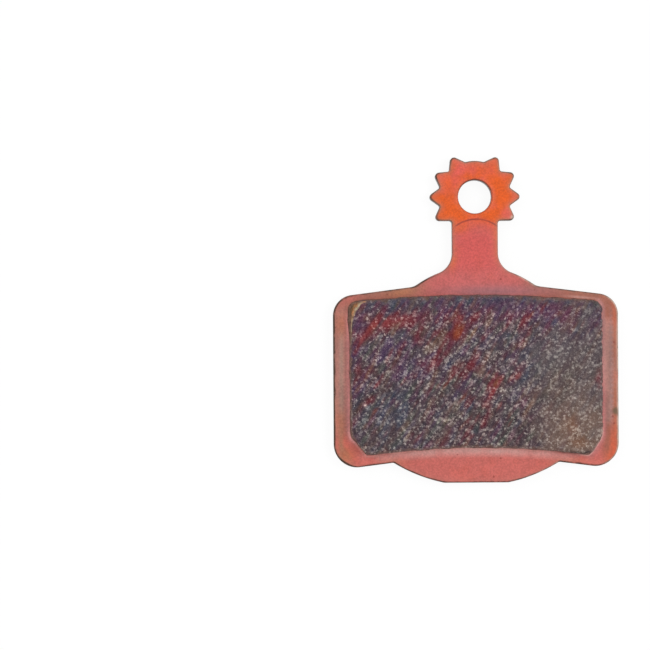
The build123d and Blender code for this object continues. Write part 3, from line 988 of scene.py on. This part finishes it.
def maskBlock(piece, points, faceBorder):
    # Heat colours, wear and a painted highlight as numbers at the block's points, from places, the chip's
    # slope and soft noise; gives the heat colours' names and colours
    x, y, z = points.T
    face = block["face"]
    streak = noiseAt(x, y, 81, 1.3, 0.2, grindAngle)
    curdle = noiseAt(x, y, 83, 0.36)
    crumbs = noiseAt(x, y, 86, 0.13)
    chip = chipDrop(x, y)
    plugged = fade(block["base"] - 0.3, block["base"] - 0.1, z)
    onWall = ease(0.1, 0.4, face - chip - z)
    toRight = ease(4.5, 9.5, x)
    edgeNear = np.zeros(len(x))        # only the face's points, which come first, have a border
    edgeNear[:len(faceBorder)] = fade(0.0, 0.42, faceBorder)

    def spots(*rows):
        # Sum of patches at the piece's own points
        return patches(x, y, rows)

    def heat(seed, bias, *rows):
        # Share of a heat colour: its patches less a bias, broken up by streaks along the grinding and by
        # curdled edges, both weaker at the lower right
        loosely = 0.2 * noiseAt(x, y, seed, 1.0, 0.18, grindAngle) + 0.12 * noiseAt(x, y, seed + 1, 0.36)
        return ease(0.0, 1.0, spots(*rows) - bias + loosely * (1 - 0.55 * toRight * fade(2.5, 6.0, y)))

    # Each heat colour lies over the ones before it: name, colour, and where it shows
    heats = [
        ("slate", paint(73, 76, 91), heat(
            101, 0.0, (-9.0, -4.0, 8.0, 7.0, 0, 0.26), (-10.4, -3.9, 2.4, 1.5, 20, 0.4),
            (-12.5, -8.2, 3.6, 1.6, 0, 0.2), (5.9, -0.4, 2.6, 2.0, 57, 0.4), (-9.5, 3.4, 2.0, 0.9, 57, 0.35),
            (2.0, 3.6, 3.0, 0.9, 0, 0.35), (10.5, 2.8, 3.5, 2.5, 40, 0.35), (-4.0, 8.8, 12.0, 0.7, 0, 0.9),
            (-11.5, 8.0, 4.2, 0.8, 0, 0.6), (12.0, 8.6, 3.0, 0.6, -3, 0.5))),
        ("violet", paint(86, 63, 92), heat(
            103, 0.0, (-5.0, 4.0, 11.0, 5.0, 0, 0.32), (-15.1, 3.5, 0.7, 3.2, -6, 0.8),
            (-12.0, 1.9, 1.4, 0.9, 57, 0.5), (-8.2, -0.4, 1.4, 1.6, 60, 0.6), (3.8, 7.2, 3.6, 0.9, 0, 0.55),
            (10.8, 6.9, 4.0, 1.1, 0, 0.45), (14.6, 5.8, 1.2, 2.2, 0, 0.2), (-3.5, 7.9, 3.6, 0.5, 0, 0.4),
            (6.5, -4.0, 1.5, 2.0, 57, 0.3))),
        ("earth", paint(125, 102, 92), heat(
            105, 0.0, (14.2, -9.0, 4.6, 3.0, 10, 0.95), (12.4, -3.0, 3.4, 4.4, 0, 0.5),
            (-5.8, 2.8, 1.2, 0.8, 0, 0.5), (-4.6, -4.2, 1.4, 1.0, 0, 0.35), (-6.0, -9.0, 4.0, 1.1, 0, 0.25))),
        ("dust", paint(104, 94, 97), heat(
            115, 0.0, (11.0, 3.0, 4.5, 4.0, 0, 0.5), (15.0, -3.0, 2.5, 4.0, 0, 0.3))),
        ("indigo", paint(76, 72, 98), heat(
            121, 0.4, (10.1, 5.9, 1.0, 0.25, 57, 1.0), (9.2, 6.4, 1.0, 0.3, 57, 0.9),
            (11.5, 5.6, 0.9, 0.25, 57, 0.9), (-13.6, 1.4, 0.5, 0.35, 40, 1.0),
            (-8.6, 0.2, 0.8, 0.6, 57, 0.7))),
        ("sage", paint(84, 86, 80), heat(
            111, 0.0, (-5.0, -2.0, 9.0, 7.0, 0, 0.16), (12.0, -1.0, 4.0, 4.0, 0, 0.2),
            (15.0, 8.25, 0.7, 0.4, -40, 0.4))),
        ("plum", paint(102, 60, 80), heat(
            113, 0.0, (-4.0, 6.6, 9.0, 1.0, 0, 0.5), (-13.5, 5.2, 1.6, 2.2, -30, 0.4),
            (9.0, 6.4, 4.0, 1.2, 0, 0.3), (11.7, 7.3, 1.2, 0.3, 57, 0.5), (9.0, 5.0, 1.0, 0.2, 57, 0.5))),
        ("crimson", paint(114, 47, 56), heat(
            107, 0.1, (-4.0, 2.5, 11.0, 5.5, 0, 0.25), (-11.5, -6.5, 4.5, 3.0, 0, -0.2),
            (-13.5, 5.0, 1.9, 0.55, 57, 0.75), (-8.4, 6.0, 2.4, 0.9, 5, 0.55),
            (-11.0, 6.0, 1.5, 0.35, 57, 0.45),
            (-2.4, 4.8, 1.2, 0.7, 62, 0.75), (-0.4, 6.6, 1.4, 0.5, 20, 0.45), (6.4, 6.3, 1.4, 0.6, 40, 0.65),
            (-13.6, 0.1, 0.9, 0.5, 57, 0.5), (-13.8, -4.2, 0.7, 0.4, 57, 0.5), (-5.8, 0.6, 1.0, 0.6, 57, 0.5),
            (-2.0, -0.7, 1.4, 0.55, 57, 0.65), (0.0, 0.9, 1.4, 0.5, 57, 0.6), (2.0, -2.7, 1.7, 0.6, 62, 0.8),
            (1.2, -6.0, 1.3, 0.5, 62, 0.55), (-1.2, -7.2, 1.0, 0.5, 57, 0.45),
            (-6.9, -5.2, 0.9, 0.6, 40, 0.45),
            (15.5, -1.4, 0.4, 1.0, 0, 0.6), (-15.2, 0.2, 0.5, 1.4, 0, 0.35), (3.2, 6.2, 1.0, 0.5, 57, 0.4))),
        ("blush", paint(156, 71, 73), heat(
            117, 0.28, (-13.5, 5.0, 1.6, 0.45, 57, 1.0), (-8.6, 6.3, 1.8, 0.5, 8, 0.5),
            (-11.6, 5.7, 1.1, 0.6, 20, 0.5), (-5.0, 6.0, 0.9, 0.4, 57, 0.4), (-2.3, 4.8, 1.1, 0.5, 62, 0.6),
            (6.3, 6.2, 1.0, 0.4, 45, 0.35), (2.2, -2.4, 1.1, 0.35, 62, 0.35))),
        ("ember", paint(148, 70, 44), heat(
            109, 0.38, (-2.4, 4.5, 1.1, 0.5, 62, 1.35), (2.5, -2.0, 0.45, 0.25, 57, 0.85),
            (-13.3, 5.3, 0.9, 0.25, 57, 0.35), (6.9, 6.8, 0.6, 0.3, 57, 0.4),
            (12.3, -7.4, 0.5, 0.3, 60, 0.6))),
        ("rustBrown", paint(132, 94, 74), heat(
            119, 0.1, (12.2, -7.4, 0.8, 1.1, 0, 0.8), (12.8, -9.6, 1.6, 0.7, 0, 0.7))),
    ]

    chipOnFace = ease(0.0, 0.1, chip) * (1 - onWall)
    chipOnWall = ease(0.1, 0.9, chip + 0.2 * curdle) * onWall
    chipped = (chipOnFace + chipOnWall) * (1 - plugged)
    fleckRich = (0.5 + 0.06 * noiseAt(x, y, 84, 0.3) * (1 - 0.7 * toRight) - 0.22 * ease(6.9, 8.3, y)
                 + 0.25 * edgeNear * (x < -13) * fade(-5.0, 2.0, y)
                 + spots((-13.0, 5.0, 2.6, 2.4, 0, -0.05), (-13.4, 5.1, 1.6, 0.5, 57, -0.3),
                         (-2.4, 4.5, 1.1, 0.5, 62, -0.3), (-6.0, -0.5, 8.0, 4.0, 20, 0.02),
                         (-10.8, -3.7, 1.6, 0.9, 15, -0.15)))
    rimSkin = edgeNear * (1 - chipped) * (0.35 + 0.3 * ease(6.0, 8.0, y) * ease(-8.0, 0.0, x)
                                          + 0.4 * fade(-9.0, -7.0, y) + 0.15 * curdle)
    creamPatch = np.clip(0.62 + 0.15 * curdle + 0.3 * crumbs, 0, 1)
    footEdge = 0.5 * fade(-16.0, -15.4, x) * (chip > 0)
    giveMasks(piece, {name: values for name, colour, values in heats} | {
        "glint": spots((-14.21, -4.7, 0.16, 0.16, 0, 1.0), (15.95, -8.1, 0.13, 0.25, 0, 0.9))
        + 0.35 * band(1.19, 0.1, x) * span(2.6, 3.2, 7.0, 7.4, y),
        "fleckRich": fleckRich,
        "streak": 0.5 + 0.2 * streak * (1 + spots((10.5, 5.0, 4.0, 2.5, 0, 1.0))),
        "calm": toRight * (1 - 0.35 * ease(2.0, 5.0, y)) + 0.3 * ease(7.6, 8.6, y)
        + spots((-13.0, -8.5, 4.0, 3.0, 0, 0.5)),
        "chipped": chipped,
        "chipFoot": ease(0.5, 1.3, chip + 0.25 * curdle + footEdge),
        "cream": band(0.1, 0.24, chip) * ease(0.0, 0.04, chip) * creamPatch * (1 - onWall),
        "plugged": plugged,
        "rusty": plugged * ease(-0.2, 1.0, noiseAt(x, y, 85, 0.7)),
        "wall": np.maximum(ease(0.15, 0.5, face - z - chip) * (1 - plugged), rimSkin),
        # Painted highlight along the face's edge at the lower right cut
        "sideHighlight": edgeNear * ease(13.6, 14.8, x) * fade(-8.6, -7.6, y) * (0.6 + 0.2 * curdle),
        "pit": spots((14.1, -10.84, 0.26, 0.15, 8, 1.2), (12.8, -10.88, 0.8, 0.09, -7, 0.75))
        * ease(face - 1.0, face - 0.4, z),
    })
    return [(name, colour) for name, colour, values in heats]


def sinteredCompound(heats):
    # Heat colours over the dark matrix, lightened by flecks and grit, then the chip, the walls and the plugs
    material = bpy.data.materials.new("sinteredCompound")
    make = Finish(material)
    place = make.place()
    fine = make.noise(place, compound["fineScale"], 2.0, 0.6)
    bent = make.noise(place, compound["bendScale"], 2.0, 0.5, "Color")
    bent = make.vector("MULTIPLY", bent, (compound["bend"], compound["bend"], compound["bend"]))[0]
    bent = make.vector("ADD", place, bent)[0]
    coarse, hue, middle = make.cells(bent, compound["coarseScale"])
    small = make.cells(bent, compound["smallScale"])[0]
    colour = compound["matrix"]
    for name, tone in heats:
        colour = make.coat(make.mask(name), colour, tone)
    shade = make.times(make.step(make.mask("streak"), 0.0, 1.0, *compound["streakShade"]),
                       make.step(fine, *noiseSpan, *compound["fineShade"]))
    colour = make.coat(1.0, colour, shade, "MULTIPLY")

    # Flecks: the palest grains, brightest in their middles. They and the grit lighten or darken the display
    # value, so that most of the heat colour under them stays
    rich = make.plus(coarse, make.minus(make.mask("fleckRich"), 0.5))
    reach = make.step(hue, 0.0, 1.0, *compound["fleckReach"])
    fleck = make.times(make.step(rich, 0.4, 1.0), make.step(middle, reach, 0.1))
    grit = make.times(make.minus(small, 0.5), compound["gritLift"])
    lift = make.plus(make.times(make.minus(fleck, compound["fleckMean"]), compound["fleckLift"]), grit)
    lift = make.times(lift, make.step(make.mask("calm"), 0.0, 1.0, 1.0, compound["calmLift"]))
    lift = make.plus(lift, make.times(make.mask("glint"), compound["glintLift"]))
    lift = make.coat(1.0, lift, compound["liftTint"], "MULTIPLY")
    colour = make.node("Gamma", {"Color": colour, "Gamma": 1 / compound["displayGamma"]}).outputs[0]
    grey = make.node("RGBToBW", {0: colour}).outputs[0]
    colour = make.coat(make.times(fleck, compound["fleckGrey"]), colour, grey)
    colour = make.coat(1.0, colour, lift, "ADD")
    colour = make.coat(1.0, colour, compound["darkest"], "LIGHTEN")
    colour = make.node("Gamma", {"Color": colour, "Gamma": compound["displayGamma"]}).outputs[0]

    # Crumbled corner: cream at its upper edge, ochre on the slope, brown at its foot
    gold = make.step(coarse, 0.4, 0.7, 0.0, compound["goldShare"])
    chip = make.coat(gold, compound["chip"], compound["chipGold"])
    chip = make.coat(make.mask("chipFoot"), chip, compound["chipFoot"])
    chipShade = make.times(make.step(small, 0.0, 1.0, *compound["chipShade"]),
                           make.step(hue, 0.2, 0.8, *compound["crumbShade"]))
    chip = make.coat(1.0, chip, chipShade, "MULTIPLY")
    colour = make.coat(make.times(make.mask("chipped"), compound["chipShare"]), colour, chip)
    colour = make.coat(make.mask("cream"), colour, compound["cream"])

    # Walls: brown with clouds and pale grains, a painted highlight along the lower right cut, and a dark pit
    # beside it
    cloud = make.noise(place, compound["cloudScale"], 3.0, 0.6)
    sideShade = make.times(make.step(small, 0.0, 1.0, *compound["sideShade"]),
                           make.step(cloud, *noiseSpan, *compound["cloudShade"]))
    side = make.coat(1.0, compound["side"], sideShade, "MULTIPLY")
    side = make.coat(make.times(fleck, compound["grainShare"]), side, compound["sideGrain"])
    colour = make.coat(make.times(make.mask("wall"), compound["wallShare"]), colour, side)
    colour = make.coat(make.mask("sideHighlight"), colour, compound["sideHighlight"])
    colour = make.coat(make.times(make.mask("pit"), compound["pitShare"]), colour, compound["dark"])

    # Plug ends: beige grain with rust
    plug = make.coat(make.step(fine, 0.35, 0.65), compound["soot"], compound["plug"])
    plug = make.coat(make.times(make.mask("rusty"), compound["rustShare"]), plug, compound["rust"])
    colour = make.coat(make.mask("plugged"), colour, plug)

    metallic = make.times(fleck, compound["metallic"])
    roughness = make.step(fleck, 0.0, 1.0, *compound["roughness"])
    make.close(colour, metallic, roughness, compound["shine"], make.plus(fine, small), compound["bump"])
    return material


steel = platedSteel(maskPlate(platePiece, platePoints, plateEdge, blockOutline))
sinter = sinteredCompound(maskBlock(blockPiece, blockPoints, faceBorder))
for piece, material, node, slotName in ((platePiece, steel, "backing_plate", "plated_steel"),
                                        (blockPiece, sinter, "friction_block", "sintered_compound")):
    piece.data.materials.append(material)
    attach(piece, "root")
    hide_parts(node)
print("finishes: plated steel, sintered compound")


# Stage: pale floor, soft light, camera

stage = {
    "cameraX": -19.27, "cameraY": 5.56, "cameraHeight": 301.9, "fieldWidth": 83.2, "cameraTurn": -0.357,
    "sensor": 36.0, "clip": (10.0, 20000.0),
    "floorSize": 3000.0, "floorDrop": 0.02, "floorBounce": 0.8, "floorShade": 0.1, "floorGlow": 0.92,
    "worldLight": 0.62,
    "lamps": [("keyLamp", (230, 60, 400), 240, 0.56), ("fillLamp", (-260, 200, 420), 320, 0.34)],
}


def grey(level):
    # The same value in all three colours
    return (level, level, level, 1)


def addFloor():
    # A square just under the object; where it shows it glows nearly white and still takes the object's
    # shadow, and elsewhere it sends light back as a pale floor does
    side = stage["floorSize"] / 2 * mm
    drop = -stage["floorDrop"] * mm
    corners = [(-side, -side, drop), (side, -side, drop), (side, side, drop), (-side, side, drop)]
    mesh = bpy.data.meshes.new("floor")
    mesh.from_pydata(corners, [], [(0, 1, 2, 3)])
    floor = bpy.data.objects.new("floor", mesh)
    scene.collection.objects.link(floor)
    material = bpy.data.materials.new("paleFloor")
    make = Finish(material)
    plain = make.node("BsdfDiffuse", {"Color": grey(stage["floorBounce"])}).outputs[0]
    shaded = make.node("BsdfDiffuse", {"Color": grey(stage["floorShade"])}).outputs[0]
    glow = make.node("Emission", {"Color": grey(1), "Strength": stage["floorGlow"]}).outputs[0]
    white = make.node("AddShader", {0: shaded, 1: glow}).outputs[0]
    surface = make.node("MixShader", {0: make.seen(), 1: plain, 2: white}).outputs[0]
    make.node("OutputMaterial", {"Surface": surface})
    mesh.materials.append(material)


def addWorld():
    # White where it shows, and a plain level of light on everything else
    world = bpy.data.worlds.new("studio")
    scene.world = world
    make = Finish(world)
    strengths = {"Value": make.seen(), "To Min": stage["worldLight"], "To Max": 1.0}
    strength = make.node("MapRange", strengths).outputs[0]
    light = make.node("Background", {"Color": grey(1), "Strength": strength}).outputs[0]
    make.node("OutputWorld", {"Surface": light})


def addLamp(name, place, size, power):
    # A round soft lamp that looks at the origin
    lamp = bpy.data.lights.new(name, "AREA")
    lamp.shape = "DISK"
    lamp.size = size * mm
    lamp.energy = power
    holder = bpy.data.objects.new(name, lamp)
    scene.collection.objects.link(holder)
    holder.location = [value * mm for value in place]
    x, y, z = -np.array(place, float)
    holder.rotation_euler = (np.arctan2(np.hypot(x, y), -z), 0, np.arctan2(y, x) - np.pi / 2)


def addCamera():
    # Straight down on the plate; the lens follows from the width that the picture shows at its front face
    camera = bpy.data.cameras.new("camera")
    camera.sensor_width = stage["sensor"]
    camera.lens = stage["sensor"] * (stage["cameraHeight"] - plate["thickness"]) / stage["fieldWidth"]
    camera.clip_start = stage["clip"][0] * mm
    camera.clip_end = stage["clip"][1] * mm
    holder = bpy.data.objects.new("camera", camera)
    scene.collection.objects.link(holder)
    holder.location = (stage["cameraX"] * mm, stage["cameraY"] * mm, stage["cameraHeight"] * mm)
    holder.rotation_euler = (0, 0, np.radians(stage["cameraTurn"]))
    scene.camera = holder


addFloor()
addWorld()
for lampRow in stage["lamps"]:
    addLamp(*lampRow)
addCamera()
scene.view_settings.view_transform = "Standard"
print("stage: floor, world,", len(stage["lamps"]), "lamps and camera")
